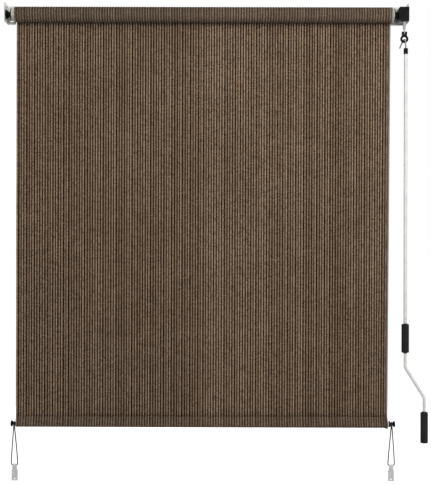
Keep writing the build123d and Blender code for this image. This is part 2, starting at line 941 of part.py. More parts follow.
def cloth_panel():
    """The hanging cloth: vertical knit ribs on its front, and a plain selvage at the right."""
    width = cloth_right - cloth_left
    ribs = int((width - selvage) / rib_pitch)
    valley = panel_front + rib_height
    points = [(cloth_right, valley), (cloth_right, panel_back)]
    points += [(cloth_left, panel_back), (cloth_left, valley)]
    for rib in range(ribs):
        start = cloth_left + rib * rib_pitch + rib_slope
        points += [
            (start, valley),
            (start + rib_slope, panel_front),
            (start + rib_slope + rib_crest, panel_front),
            (start + 2 * rib_slope + rib_crest, valley),
        ]
    top = roller_z - soft_gap
    bottom = hem_top + soft_gap
    section = Plane.XY.offset(bottom) * make_face(Polyline(*points, close=True))
    body = extrude(section, amount=top - bottom)
    wedge = Plane.XZ.offset(-panel_back - cloth) * make_face(
        Polyline(
            (cloth_right, top),
            (cloth_right + hem_edge_in, bottom),
            (hem_right, bottom),
            close=True,
        )
    )
    return body - extrude(wedge, amount=panel_back - panel_front + 2 * cloth)


def pocket_outline(bottom_radius, top_radius, top_z):
    """Teardrop round the bottom bar, closed at its top by the seam."""
    drop = top_z - bar_z
    lean = acos((bottom_radius - top_radius) / drop)
    bottom_out = (bottom_radius * sin(lean), bottom_radius * cos(lean))
    top_out = (top_radius * sin(lean), drop + top_radius * cos(lean))
    return make_face(
        [
            ThreePointArc(bottom_out, (0, -bottom_radius), (-bottom_out[0], bottom_out[1])),
            Line((-bottom_out[0], bottom_out[1]), (-top_out[0], top_out[1])),
            ThreePointArc((-top_out[0], top_out[1]), (0, drop + top_radius), top_out),
            Line(top_out, bottom_out),
        ]
    )


def cloth_hem():
    """The cloth's lower end, sewn into a pocket round the bottom bar."""
    top_radius = cloth + soft_gap
    outer = pocket_outline(hem_outer_radius, top_radius, hem_top - top_radius)
    inner = pocket_outline(hem_inner_radius, soft_gap / 2, hem_top - top_radius - hem_seam)
    plane = Plane((cloth_left, panel_middle, bar_z), x_dir=(0, 1, 0), z_dir=(1, 0, 0))
    return extrude(plane * (outer - inner), amount=hem_right - cloth_left)


def bottom_bar():
    outer = bar_diameter / 2
    body = along_x(bar_left, bar_right, outer, panel_middle, bar_z)
    return body - along_x(bar_left, bar_right, outer - bar_wall, panel_middle, bar_z)


def end_spool(end, side):
    """Moulded plug for the bottom bar's end, waisted like a bobbin for the elastic."""
    spigot = bar_diameter / 2 - bar_wall - push_clearance
    flange = spool_diameter / 2
    waist = spool_waist_diameter / 2
    slope = flange - waist - spool_bevel
    points = [
        (-spigot_length, 0),
        (-spigot_length, spigot - spool_bevel / 2),
        (-spigot_length + spool_bevel / 2, spigot),
        (0, spigot),
        (0, flange),
        (spool_flange - spool_bevel, flange),
        (spool_flange, flange - slope / 2),
        (spool_flange, waist),
        (spool_flange + spool_waist_width, waist),
        (spool_flange + spool_waist_width, flange - slope / 2),
        (spool_flange + spool_waist_width + spool_bevel, flange),
        (spool_width - spool_bevel / 2, flange),
        (spool_width, flange - spool_bevel / 2),
        (spool_width, 0),
    ]
    points = [(end + side * x, r) for x, r in points]
    return turned_x(points, panel_middle, bar_z)


def waist_x(end, side):
    return end + side * (spool_flange + spool_waist_width / 2)


hook_inside = elastic_diameter / 2 + loop_clearance
cord_round_waist = spool_waist_diameter / 2 + loop_clearance + elastic_diameter / 2
cord_y_at_hook = -hook_sheet - hook_inside
hook_crown_z = bar_z - elastic_rest_length
cord_bottom_z = hook_crown_z - hook_inside + elastic_diameter / 2 + loop_clearance


def elastic_route(centre, side):
    """Route of an elastic loop: up to the spool's waist, over it, down and through the hook.

    Its corners are chosen by hand, as distances from the spool's waist and from the hook.
    The leg in front of the waist is the one nearer to the cloth.
    """
    front = panel_middle - cord_round_waist
    back = panel_middle + cord_round_waist
    over = bar_z + cord_round_waist
    under = bar_z - elastic_waist_drop
    lane = (elastic_diameter + elastic_lane_gap) / 2
    corner_z = cord_bottom_z + elastic_corner_rise
    return [
        (centre - side * elastic_ends_gap, cord_y_at_hook, cord_bottom_z),
        (centre - side * elastic_flat, cord_y_at_hook, cord_bottom_z),
        (centre - side * elastic_spread, cord_y_at_hook, corner_z),
        (centre - side * lane, front, under),
        (centre - side * lane, front, over),
        (centre + side * lane, back, over),
        (centre + side * lane, back, under),
        (centre + side * elastic_spread, cord_y_at_hook, corner_z),
        (centre + side * elastic_flat, cord_y_at_hook, cord_bottom_z),
        (centre + side * elastic_ends_gap, cord_y_at_hook, cord_bottom_z),
    ]


def elastic_loop(centre, side, name):
    """Elastic cord loop, as a plain tube along straight runs and tangent arcs."""
    route = [Vector(*point) for point in elastic_route(centre, side)]
    radii = []
    for before_corner, corner, after_corner in zip(route, route[1:], route[2:]):
        before = corner - before_corner
        after = after_corner - corner
        turn = radians(before.get_angle(after))
        room = arc_share * min(before.length, after.length) / tan(turn / 2)
        radii.append(min(elastic_bend, room))
    path = FilletPolyline(*route, radius=radii)
    body = wire_solid(path, elastic_diameter / 2)
    by_length = pi * elastic_diameter**2 / 4 * path.length
    print(name, "radii", [round(r, 1) for r in radii], "length", round(path.length, 1))
    print(name, "volume", round(body.volume, 1), "section times length", round(by_length, 1))
    return body


def wall_hook(centre):
    """Hook of bent sheet for the wall: a tongue over the cord, a screw hole, a flared foot."""
    back = 0.0
    front = -hook_sheet
    inner = hook_inside
    outer = inner + hook_sheet
    middle_y = front - inner
    tip_y = front - 2 * inner
    crown = hook_crown_z
    tongue_bottom = crown - hook_tongue_drop
    shoulder = crown - hook_shoulder_drop
    profile = make_face(
        [
            Line((back, shoulder), (back, crown)),
            ThreePointArc((back, crown), (middle_y, crown + outer), (tip_y - hook_sheet, crown)),
            Line((tip_y - hook_sheet, crown), (tip_y - hook_sheet, tongue_bottom)),
            Line((tip_y - hook_sheet, tongue_bottom), (tip_y, tongue_bottom)),
            Line((tip_y, tongue_bottom), (tip_y, crown)),
            ThreePointArc((tip_y, crown), (middle_y, crown + inner), (front, crown)),
            Line((front, crown), (front, shoulder)),
            Line((front, shoulder), (back, shoulder)),
        ]
    )
    plane = Plane((centre, 0, 0), x_dir=(0, 1, 0), z_dir=(1, 0, 0))
    body = extrude(plane * profile, amount=hook_tongue_width / 2, both=True)
    bottom = crown + outer - hook_height
    half = hook_width / 2
    foot = hook_foot_width / 2
    face = make_face(
        Polyline(
            (centre - foot, bottom),
            (centre + foot, bottom),
            (centre + half, bottom + hook_foot_height),
            (centre + half, shoulder),
            (centre + hook_tongue_width / 2, shoulder + hook_foot_height),
            (centre - hook_tongue_width / 2, shoulder + hook_foot_height),
            (centre - half, shoulder),
            (centre - half, bottom + hook_foot_height),
            close=True,
        )
    )
    body += extrude(Plane.XZ * face, amount=hook_sheet)
    hole = Plane((centre, 0, bottom + hook_hole_rise), z_dir=(0, -1, 0)) * Circle(
        hook_hole_diameter / 2
    )
    return body - extrude(hole, amount=2 * hook_sheet, both=True)


left_waist = waist_x(bar_left, -1)
right_waist = waist_x(bar_right, 1)

parts = {
    "left_bracket": left_bracket(),
    "right_bracket": right_bracket(),
    "idler_bush": idler_bush(),
    "bush_screws": bush_screws(),
    "gear_housing": gear_housing(),
    "gear_cover": gear_cover(),
    "housing_screws": housing_screws(),
    "cover_screws": cover_screws(),
    "worm_bush": worm_bush(),
    "roller_tube": roller_tube(),
    "idler_plug": idler_plug(),
    "idler_pin": idler_pin(),
    "drive_plug": drive_plug(),
    "worm_wheel": worm_wheel(),
    "wheel_washer": wheel_washer(),
    "worm_shaft": worm_shaft(),
    "drive_yoke": drive_yoke(),
    "yoke_pin": yoke_pin(),
    "crank_eye": crank_eye(),
    "eye_pin": eye_pin(),
    "crank_hook": crank_hook(),
    "crank_ferrule": crank_ferrule(),
    "ferrule_pin": ferrule_pin_bar(),
    "crank_tube": crank_tube(),
    "crank_rod": crank_rod(),
    "grip_collars": grip_collars(),
    "handle_cap": handle_cap(),
    "upper_grip": upper_grip(),
    "lower_grip": lower_grip(),
    "cloth_roll": cloth_roll(),
    "cloth_panel": cloth_panel(),
    "cloth_hem": cloth_hem(),
    "bottom_bar": bottom_bar(),
    "left_spool": end_spool(bar_left, -1),
    "right_spool": end_spool(bar_right, 1),
    "left_elastic": elastic_loop(left_waist, -1, "left_elastic"),
    "right_elastic": elastic_loop(right_waist, 1, "right_elastic"),
    "left_wall_hook": wall_hook(left_waist),
    "right_wall_hook": wall_hook(right_waist),
}

for name, shape in parts.items():
    if isinstance(shape, list):
        shape = Compound(children=shape)
    export_step(shape, f"parts/{name}.step")
    print(name, "written")
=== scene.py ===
# %% [markdown]
# # Outdoor roller shade
#
# A ribbed cloth hangs from a roller between two wall brackets. A hand crank turns the
# roller through a gear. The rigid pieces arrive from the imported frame, in metres, with
# Z up and the wall at y = 0. This notebook gives every surface its finish, and models
# what is soft: the cloth, the elastic loops and the stitches.

# %% Load the frame
import math

import bpy
import numpy as np
from mathutils import Matrix, Vector


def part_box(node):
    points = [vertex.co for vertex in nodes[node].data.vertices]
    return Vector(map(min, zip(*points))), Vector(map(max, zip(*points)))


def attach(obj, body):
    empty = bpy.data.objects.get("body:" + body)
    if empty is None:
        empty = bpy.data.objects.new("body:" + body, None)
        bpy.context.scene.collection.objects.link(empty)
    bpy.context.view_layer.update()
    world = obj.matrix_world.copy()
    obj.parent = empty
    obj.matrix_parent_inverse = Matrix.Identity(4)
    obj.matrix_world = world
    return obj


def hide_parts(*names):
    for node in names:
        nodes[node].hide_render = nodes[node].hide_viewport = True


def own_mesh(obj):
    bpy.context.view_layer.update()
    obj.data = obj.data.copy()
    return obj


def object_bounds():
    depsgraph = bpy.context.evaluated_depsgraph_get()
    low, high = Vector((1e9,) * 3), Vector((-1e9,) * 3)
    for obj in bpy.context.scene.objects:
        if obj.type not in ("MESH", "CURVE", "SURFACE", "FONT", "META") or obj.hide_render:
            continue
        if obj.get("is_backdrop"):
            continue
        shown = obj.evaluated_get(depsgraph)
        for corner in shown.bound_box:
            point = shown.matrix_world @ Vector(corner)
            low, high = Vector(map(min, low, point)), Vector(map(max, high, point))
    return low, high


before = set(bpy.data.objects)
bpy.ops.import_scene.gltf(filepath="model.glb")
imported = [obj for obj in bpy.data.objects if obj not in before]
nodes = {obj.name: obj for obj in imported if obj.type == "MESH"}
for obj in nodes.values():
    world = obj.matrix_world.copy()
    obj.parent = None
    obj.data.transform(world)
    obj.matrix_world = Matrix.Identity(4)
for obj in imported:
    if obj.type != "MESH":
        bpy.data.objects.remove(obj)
cad_low, cad_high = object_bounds()
MM = 0.001
print("nodes", len(nodes), "box", [round(v, 3) for v in (*cad_low, *cad_high)])

# %% [markdown]
# ## Camera
#
# The photograph looks straight at the wall from about three and a half metres. Its
# optical centre isn't the picture's centre, because the picture was cropped. A lens
# shift does the same as a crop: the camera stays level, so upright edges stay upright.
# Turning the camera to the object instead would make them converge.

# %% Camera
PHOTO_WIDTH, PHOTO_HEIGHT = 431, 485
FOCAL_PIXELS = 977.0
OPTICAL_CENTRE_X, OPTICAL_CENTRE_Y = 206.2, 246.3
CAMERA_DISTANCE = 3.438
CAMERA_HEIGHT = -0.810
CAMERA_LEAN = math.radians(-0.12)
SENSOR = 36.0


def make_camera():
    data = bpy.data.cameras.new("photo_camera")
    data.sensor_width = SENSOR
    data.lens = FOCAL_PIXELS * SENSOR / PHOTO_HEIGHT
    data.shift_x = (PHOTO_WIDTH / 2 - OPTICAL_CENTRE_X) / PHOTO_HEIGHT
    data.shift_y = (OPTICAL_CENTRE_Y - PHOTO_HEIGHT / 2) / PHOTO_HEIGHT
    camera = bpy.data.objects.new("photo_camera", data)
    camera.location = (0, -CAMERA_DISTANCE, CAMERA_HEIGHT)
    camera.rotation_euler = (math.pi / 2, CAMERA_LEAN, 0)
    bpy.context.scene.collection.objects.link(camera)
    bpy.context.scene.camera = camera


make_camera()
print("camera at", CAMERA_DISTANCE, "m")

# %% [markdown]
# ## Light and surroundings
#
# The shade stands in a white studio. The world is white to the camera and in
# reflections, so that bare metal mirrors a bright room, but it lights the surfaces only
# partly. Soft lamps give the rest: a large one in front, a little to the right, another
# from the right, and one behind, so that the back can be judged too. The lamps stay out
# of reflections, where they would burn spots into the metal.

# %% World, lamps and floor
WORLD_LIGHT = 0.36
FLOOR_DROP = 0.10
FLOOR_GLOW = 0.62
FLOOR_X, FLOOR_Y = 3.0, 2.2
# name: place, aim, width and height, watts
LAMPS = {
    "front_lamp": ((0.50, -2.0, 0.16), (0.15, 0, -0.22), (2.6, 1.1), 39),
    "side_lamp": ((2.6, -1.9, 0.2), (0, 0, -0.6), (1.4, 1.8), 16),
    "back_lamp": ((-0.5, 2.3, 0.1), (0, 0, -0.6), (2.4, 1.4), 24),
}


def make_world():
    world = bpy.data.worlds.new("studio")
    bpy.context.scene.world = world
    world.use_nodes = True
    tree = world.node_tree
    tree.nodes.clear()
    path = tree.nodes.new("ShaderNodeLightPath")
    seen = tree.nodes.new("ShaderNodeMath")
    seen.operation = "MAXIMUM"
    tree.links.new(path.outputs["Is Camera Ray"], seen.inputs[0])
    tree.links.new(path.outputs["Is Glossy Ray"], seen.inputs[1])
    also = tree.nodes.new("ShaderNodeMath")
    also.operation = "MAXIMUM"
    tree.links.new(seen.outputs[0], also.inputs[0])
    tree.links.new(path.outputs["Is Transmission Ray"], also.inputs[1])
    strength = tree.nodes.new("ShaderNodeMapRange")
    strength.inputs["To Min"].default_value = WORLD_LIGHT
    tree.links.new(also.outputs[0], strength.inputs["Value"])
    background = tree.nodes.new("ShaderNodeBackground")
    tree.links.new(strength.outputs[0], background.inputs["Strength"])
    background.inputs["Color"].default_value = (1, 1, 1, 1)
    out = tree.nodes.new("ShaderNodeOutputWorld")
    tree.links.new(background.outputs[0], out.inputs["Surface"])


def make_lamp(name, place, target, size, watts):
    data = bpy.data.lights.new(name, "AREA")
    data.shape = "RECTANGLE"
    data.size, data.size_y = size
    data.energy = watts
    lamp = bpy.data.objects.new(name, data)
    lamp.location = place
    lamp.rotation_euler = (Vector(target) - Vector(place)).to_track_quat("-Z", "Y").to_euler()
    lamp.visible_glossy = False
    lamp.visible_camera = False
    bpy.context.scene.collection.objects.link(lamp)


def make_floor():
    """A pale floor. To the camera it is as white as the room, and it keeps shadows."""
    z = cad_low.z - FLOOR_DROP
    mesh = bpy.data.meshes.new("floor")
    corners = [(x * FLOOR_X, y * FLOOR_Y, z) for x, y in ((-1, -1), (1, -1), (1, 1), (-1, 1))]
    mesh.from_pydata(corners, [], [(0, 1, 2, 3)])
    floor = bpy.data.objects.new("floor", mesh)
    bpy.context.scene.collection.objects.link(floor)
    material = bpy.data.materials.new("pale_floor")
    material.use_nodes = True
    tree = material.node_tree
    shader = tree.nodes["Principled BSDF"]
    shader.inputs["Base Color"].default_value = (0.86, 0.86, 0.86, 1)
    shader.inputs["Roughness"].default_value = 0.9
    shader.inputs["Emission Color"].default_value = (1, 1, 1, 1)
    path = tree.nodes.new("ShaderNodeLightPath")
    glow = tree.nodes.new("ShaderNodeMath")
    glow.operation = "MULTIPLY"
    glow.inputs[1].default_value = FLOOR_GLOW
    tree.links.new(path.outputs["Is Camera Ray"], glow.inputs[0])
    tree.links.new(glow.outputs[0], shader.inputs["Emission Strength"])
    mesh.materials.append(material)
    floor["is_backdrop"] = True


bpy.context.scene.view_settings.view_transform = "Standard"
make_world()
for name, lamp in LAMPS.items():
    make_lamp(name, *lamp)
make_floor()
print("world light", WORLD_LIGHT, "lamps", len(LAMPS))

# %% [markdown]
# ## A short way to write materials
#
# A procedural finish is a chain of small sums. Written with bare node calls it is long
# and hard to read, so this little class adds a node for each sum and links whatever it
# is given, a number or another node's output. Constants that are the same all over a
# surface are set straight on the shader's sockets, because the export drops a linked one.

# %% Material maker
class Finish:
    """One material and its node tree, with a method for each kind of step."""

    def __init__(self, name, **sockets):
        self.material = bpy.data.materials.new(name)
        self.material.use_nodes = True
        self.tree = self.material.node_tree
        self.shader = self.tree.nodes["Principled BSDF"]
        for socket, value in sockets.items():
            self.shader.inputs[socket.replace("_", " ")].default_value = value

    def add(self, kind, inputs=(), **settings):
        node = self.tree.nodes.new(kind)
        for key, value in settings.items():
            setattr(node, key, value)
        for key, value in dict(inputs).items():
            self.put(node.inputs[key], value)
        return node

    def put(self, socket, value):
        if isinstance(value, bpy.types.NodeSocket):
            self.tree.links.new(value, socket)
        else:
            socket.default_value = value

    def math(self, operation, a, b=0.0):
        return self.add("ShaderNodeMath", {0: a, 1: b}, operation=operation).outputs[0]

    def ease(self, value, low, high, to_low=0.0, to_high=1.0):
        """Smooth step from to_low to to_high while value goes from low to high."""
        inputs = {"Value": value, "From Min": low, "From Max": high}
        inputs |= {"To Min": to_low, "To Max": to_high}
        node = self.add("ShaderNodeMapRange", inputs, interpolation_type="SMOOTHSTEP")
        return node.outputs["Result"]

    def noise(self, vector, scale, detail=2.0, roughness=0.5):
        inputs = {"Vector": vector, "Scale": scale, "Detail": detail, "Roughness": roughness}
        return self.add("ShaderNodeTexNoise", inputs).outputs[0]

    def cells(self, vector, scale):
        return self.add("ShaderNodeTexVoronoi", {"Vector": vector, "Scale": scale})

    def random(self, value):
        node = self.add("ShaderNodeTexWhiteNoise", {"W": value}, noise_dimensions="1D")
        return node.outputs["Value"]

    def blend(self, share, a, b):
        """Colour a where share is 0 and b where it is 1."""
        node = self.add("ShaderNodeMix", data_type="RGBA")
        self.put(node.inputs[0], share)
        self.put(node.inputs[6], (*a, 1) if isinstance(a, tuple) else a)
        self.put(node.inputs[7], (*b, 1) if isinstance(b, tuple) else b)
        return node.outputs[2]

    def join(self, x, y, z):
        return self.add("ShaderNodeCombineXYZ", {"X": x, "Y": y, "Z": z}).outputs[0]

    def here(self):
        """Object coordinates, in metres."""
        return self.add("ShaderNodeTexCoord").outputs["Object"]

    def parts(self, vector):
        return self.add("ShaderNodeSeparateXYZ", {"Vector": vector}).outputs

    def map(self, name):
        """A piece's own UV map, whose units here are metres."""
        return self.add("ShaderNodeUVMap", uv_map=name).outputs["UV"]

    def stretch(self, vector, scale):
        return self.add("ShaderNodeMapping", {"Vector": vector, "Scale": scale}).outputs[0]

    def colour(self, value):
        self.put(self.shader.inputs["Base Color"], value)

    def rough(self, value):
        self.put(self.shader.inputs["Roughness"], value)

    def bump(self, height, distance, strength=1.0):
        inputs = {"Height": height, "Distance": distance, "Strength": strength}
        before = self.shader.inputs["Normal"]
        if before.links:
            inputs["Normal"] = before.links[0].from_socket
        node = self.add("ShaderNodeBump", inputs)
        self.tree.links.new(node.outputs[0], before)


def grey(value):
    return (value, value, value)


def dress(node, finish):
    """Give a carried-over CAD node its material."""
    mesh = nodes[node].data
    mesh.materials.clear()
    mesh.materials.append(finish)


print("material maker ready")

# %% [markdown]
# ## Elastic loops
#
# Each end of the bottom bar carries a spool, and a loop of elastic cord hangs from its
# waist. A steel wall hook hangs in the loop and keeps it taut. The route is a short
# list of points, as on the frame's own tube, and a NURBS curve with those points as its
# control points makes one smooth line of them. A round braid then follows that line as
# a mesh with its own UV map, because a braid has to turn with its cord.

# %% Route of the elastic loops
SPLINE_STEPS = 24
TUBE_SIDES = 14
PANEL_MIDDLE_Y = -11.7 * MM
BAR_Z = -1432.25 * MM
ELASTIC_RADIUS = 1.9 * MM
ROUND_WAIST = 6.75 * MM
HOOK_CORD_Y = -3.75 * MM
HOOK_CORD_Z = -1579.25 * MM
ENDS_GAP = 0.05 * MM
LOOP_FLAT = 9.0 * MM
LOOP_SPREAD = 12.4 * MM
CORNER_RISE = 5.5 * MM
WAIST_DROP = 4.0 * MM
LANE = 2.1 * MM


def elastic_route(centre, side):
    """Points of one loop, from under the hook's tongue up over the waist and back."""
    front, back = PANEL_MIDDLE_Y - ROUND_WAIST, PANEL_MIDDLE_Y + ROUND_WAIST
    over, under = BAR_Z + ROUND_WAIST, BAR_Z - WAIST_DROP
    corner_z = HOOK_CORD_Z + CORNER_RISE
    return [
        (centre - side * ENDS_GAP, HOOK_CORD_Y, HOOK_CORD_Z),
        (centre - side * LOOP_FLAT, HOOK_CORD_Y, HOOK_CORD_Z),
        (centre - side * LOOP_SPREAD, HOOK_CORD_Y, corner_z),
        (centre - side * LANE, front, under),
        (centre - side * LANE, front, over),
        (centre + side * LANE, back, over),
        (centre + side * LANE, back, under),
        (centre + side * LOOP_SPREAD, HOOK_CORD_Y, corner_z),
        (centre + side * LOOP_FLAT, HOOK_CORD_Y, HOOK_CORD_Z),
        (centre + side * ENDS_GAP, HOOK_CORD_Y, HOOK_CORD_Z),
    ]


def in_scene(name, data):
    """A new object with that data, linked to the scene."""
    thing = bpy.data.objects.new(name, data)
    bpy.context.scene.collection.objects.link(thing)
    return thing


def baked(holder):
    """The evaluated mesh of an object, and the object itself removed."""
    graph = bpy.context.evaluated_depsgraph_get()
    mesh = bpy.data.meshes.new_from_object(holder.evaluated_get(graph))
    bpy.data.objects.remove(holder)
    return mesh


def smooth_line(route):
    """The points of the NURBS curve that a route controls."""
    data = bpy.data.curves.new("route", "CURVE")
    data.dimensions = "3D"
    data.resolution_u = SPLINE_STEPS
    spline = data.splines.new("NURBS")
    spline.points.add(len(route) - 1)
    for point, place in zip(spline.points, route):
        point.co = (*place, 1)
    spline.order_u = 3
    spline.use_endpoint_u = True
    return [v.co.copy() for v in baked(in_scene("route", data)).vertices]


def run_along(line):
    """How far along a line of points each of its points lies."""
    steps = np.linalg.norm(np.diff(np.array(line), axis=0), axis=1)
    return np.concatenate([[0], np.cumsum(steps)])


def place_mesh(name, vertices, faces):
    mesh = bpy.data.meshes.new(name)
    mesh.from_pydata([tuple(v) for v in vertices], [], faces)
    mesh.polygons.foreach_set("use_smooth", [True] * len(faces))
    mesh.update()
    return in_scene(name, mesh)


def tube_along(name, points, radius, sides=TUBE_SIDES):
    """A closed tube round a line, with a UV map in metres: round the tube, and along it."""
    steps = np.array([tuple(p) for p in points])
    run = run_along(steps)
    along = np.gradient(steps, axis=0)
    along /= np.linalg.norm(along, axis=1)[:, None]
    side = np.cross(along[0], (0.0, 1.0, 0.2))
    vertices = []
    for place, direction in zip(steps, along):
        side = side - direction * (side @ direction)
        side /= np.linalg.norm(side)
        other = np.cross(direction, side)
        for k in range(sides):
            turn = 2 * math.pi * k / sides
            vertices.append(place + radius * (math.cos(turn) * side + math.sin(turn) * other))
    faces, uvs = [], []
    girth = 2 * math.pi * radius
    for ring in range(len(steps) - 1):
        for k in range(sides):
            a, b = ring * sides + k, ring * sides + (k + 1) % sides
            faces.append((a, b, b + sides, a + sides))
            u0, u1 = girth * k / sides, girth * (k + 1) / sides
            uvs += [(u0, run[ring]), (u1, run[ring]), (u1, run[ring + 1]), (u0, run[ring + 1])]
    last = (len(steps) - 1) * sides
    faces.append(tuple(reversed(range(sides))))
    faces.append(tuple(range(last, last + sides)))
    uvs += [(0.0, run[0])] * sides + [(0.0, run[-1])] * sides
    piece = place_mesh(name, vertices, faces)
    layer = piece.data.uv_layers.new(name="cord")
    layer.data.foreach_set("uv", np.array(uvs, float).ravel())
    return piece, run[-1]


# %% [markdown]
# ## Braided elastic
#
# A braid is two families of strands that cross. In the cord's UV map each family is a
# set of slanted stripes, and the larger of the two heights at a place is the strand on
# top. The strand beneath is painted darker, as painted shade between the strands, and
# the dark yarn is a little uneven in colour.

# %% Elastic finish and pieces
BRAID_PITCH = 2.4 * MM


def elastic_finish():
    f = Finish("braided_elastic", Roughness=0.8, Specular_IOR_Level=0.15)
    across, along, _ = f.parts(f.map("cord"))
    across = f.math("DIVIDE", across, 2 * math.pi * ELASTIC_RADIUS / 6)
    along = f.math("DIVIDE", along, BRAID_PITCH)
    one = f.math("PINGPONG", f.math("ADD", across, along), 0.5)
    two = f.math("PINGPONG", f.math("SUBTRACT", across, along), 0.5)
    height = f.math("MAXIMUM", one, two)
    yarn = f.noise(f.here(), 900.0)
    # Where a strand lies under the other it is painted darker: painted shade between the
    # strands. The yarn noise is the yarn's own uneven colour.
    depth = f.ease(height, 0.1, 0.5, 0.55, 1.0)
    shade = f.math("MULTIPLY", depth, f.ease(yarn, 0.3, 0.7, 0.8, 1.2))
    f.colour(f.blend(shade, (0.004, 0.004, 0.005), (0.030, 0.030, 0.032)))
    f.bump(height, 0.25 * MM)
    return f.material


elastic_material = elastic_finish()
for side, sign in (("left", -1), ("right", 1)):
    low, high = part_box(f"{side}_wall_hook")
    centre = (low.x + high.x) / 2
    route = elastic_route(centre, sign)
    line = smooth_line(route)
    loop, length = tube_along(f"{side}_elastic_loop", line, ELASTIC_RADIUS)
    loop.data.materials.append(elastic_material)
    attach(loop, "rail")
    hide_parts(f"{side}_elastic")
    print(loop.name, "length", round(length, 4), "centre", round(centre, 4))

# %% [markdown]
# ## Cloth, cut flat by a rule
#
# The cloth is one knitted length. Ribs of light yarn run down it, 9.26 mm apart, and
# darker valleys lie between them. Its shape follows a rule, so a Geometry Nodes tree
# makes it flat: a grid whose height comes from the place across the rib, with each rib
# a little different. The same tree cuts the part on the roller, the part that hangs and
# the hem. Its UV map is in metres of cloth, so the knit runs on from piece to piece.

# %% Geometry Nodes tree for the flat cloth
RIB_PITCH = 9.26 * MM
RIB_HEIGHT = 0.8 * MM
CREST_RISE, CREST_FALL = (0.04, 0.25), (0.50, 0.71)
RIB_SWAY = 0.10
RIB_LEAST = 0.35
CLOTH_THICKNESS = 0.75 * MM
COLUMNS_PER_RIB = 4
CLOTH_LOW, CLOTH_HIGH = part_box("cloth_roll")
CLOTH_LEFT, CLOTH_WIDTH = CLOTH_LOW.x, CLOTH_HIGH.x - CLOTH_LOW.x


class Tree:
    """A Geometry Nodes tree with named inputs, written one node at a time."""

    def __init__(self, name, **sockets):
        self.tree = bpy.data.node_groups.new(name, "GeometryNodeTree")
        interface = self.tree.interface
        for label, (kind, value) in sockets.items():
            socket = interface.new_socket(label, in_out="INPUT", socket_type=kind)
            if value is not None:
                socket.default_value = value
        interface.new_socket("Geometry", in_out="OUTPUT", socket_type="NodeSocketGeometry")
        self.given = self.tree.nodes.new("NodeGroupInput").outputs
        self.out = self.tree.nodes.new("NodeGroupOutput").inputs[0]

    def add(self, kind, inputs=(), **settings):
        node = self.tree.nodes.new(kind)
        for key, value in settings.items():
            setattr(node, key, value)
        for key, value in dict(inputs).items():
            if isinstance(value, bpy.types.NodeSocket):
                self.tree.links.new(value, node.inputs[key])
            else:
                node.inputs[key].default_value = value
        return node.outputs

    def math(self, operation, a, b=0.0):
        return self.add("ShaderNodeMath", {0: a, 1: b}, operation=operation)[0]

    def ease(self, value, low, high, to_low=0.0, to_high=1.0):
        inputs = {"Value": value, "From Min": low, "From Max": high}
        inputs |= {"To Min": to_low, "To Max": to_high}
        return self.add("ShaderNodeMapRange", inputs, interpolation_type="SMOOTHSTEP")[0]

    def end(self, geometry):
        real = self.add("GeometryNodeRealizeInstances", {"Geometry": geometry})[0]
        dressed = self.add(
            "GeometryNodeSetMaterial", {"Geometry": real, "Material": self.given["Material"]}
        )
        self.tree.links.new(dressed[0], self.out)


def cloth_tree():
    number, metres = "NodeSocketInt", "NodeSocketFloat"
    t = Tree(
        "ribbed_cloth", Width=(metres, 1.0), Length=(metres, 1.0), Start=(metres, 0.0),
        Pitch=(metres, RIB_PITCH), Height=(metres, RIB_HEIGHT), Columns=(number, 40),
        Rows=(number, 40), Seed=(metres, 3.0), Material=("NodeSocketMaterial", None),
    )
    g = t.given
    grid = t.add("GeometryNodeMeshGrid", {
        "Size X": g["Width"], "Size Y": g["Length"],
        "Vertices X": g["Columns"], "Vertices Y": g["Rows"],
    })
    size = t.add("ShaderNodeCombineXYZ", {"X": g["Width"], "Y": g["Length"]})[0]
    scaled = t.add("ShaderNodeVectorMath", {0: grid["UV Map"], 1: size}, operation="MULTIPLY")[0]
    start = t.add("ShaderNodeCombineXYZ", {"Y": g["Start"]})[0]
    metre_map = t.add("ShaderNodeVectorMath", {0: scaled, 1: start})[0]
    cut = t.add("GeometryNodeStoreNamedAttribute", {
        "Geometry": grid["Mesh"], "Name": "cloth", "Value": metre_map,
    }, data_type="FLOAT2", domain="CORNER")[0]
    place = t.add("ShaderNodeSeparateXYZ", {"Vector": t.add("GeometryNodeInputPosition")[0]})
    across = t.math("ADD", place[0], t.math("MULTIPLY", g["Width"], 0.5))
    down = t.math("ADD", place[1], g["Start"])
    rib = t.math("DIVIDE", across, g["Pitch"])
    phase = t.math("FRACT", rib)
    number_of_rib = t.math("FLOOR", rib)
    crest = t.math("MULTIPLY", t.ease(phase, *CREST_RISE), t.ease(phase, *CREST_FALL, 1.0, 0.0))
    spot = t.add("ShaderNodeCombineXYZ", {
        "X": t.math("MULTIPLY", number_of_rib, 3.7), "Y": t.math("MULTIPLY", down, 22.0),
        "Z": g["Seed"],
    })[0]
    uneven = t.add("ShaderNodeTexNoise", {"Vector": spot, "Scale": 1.0, "Detail": 2.0})[0]
    height = t.math("MULTIPLY", crest, g["Height"])
    height = t.math("MULTIPLY", height, t.math("ADD", uneven, RIB_LEAST))
    sway = t.add("ShaderNodeTexNoise", {"Vector": spot, "Scale": 0.45, "Detail": 1.0})[0]
    reach = t.math("MULTIPLY", g["Pitch"], RIB_SWAY)
    sway = t.math("MULTIPLY", t.math("SUBTRACT", sway, 0.5), reach)
    offset = t.add("ShaderNodeCombineXYZ", {"X": sway, "Z": height})[0]
    knit = t.add("GeometryNodeSetPosition", {"Geometry": cut, "Offset": offset})[0]
    smooth = t.add("GeometryNodeSetShadeSmooth", {"Geometry": knit})[0]
    t.end(smooth)
    return t.tree


flat_cloth = cloth_tree()
print("cloth tree nodes", len(flat_cloth.nodes))

# %% [markdown]
# ## From a flat cut to its place
#
# A modifier with the tree and a Solidify modifier are evaluated, and the result is read
# back as a plain mesh in three numbers: across the cloth, along it, and out of it. Each
# piece then has a line in the Y-Z plane that the cloth follows. A point moves to its
# distance along that line and out along the line's normal. Bending a flat cut this way
# neither stretches nor shrinks it.

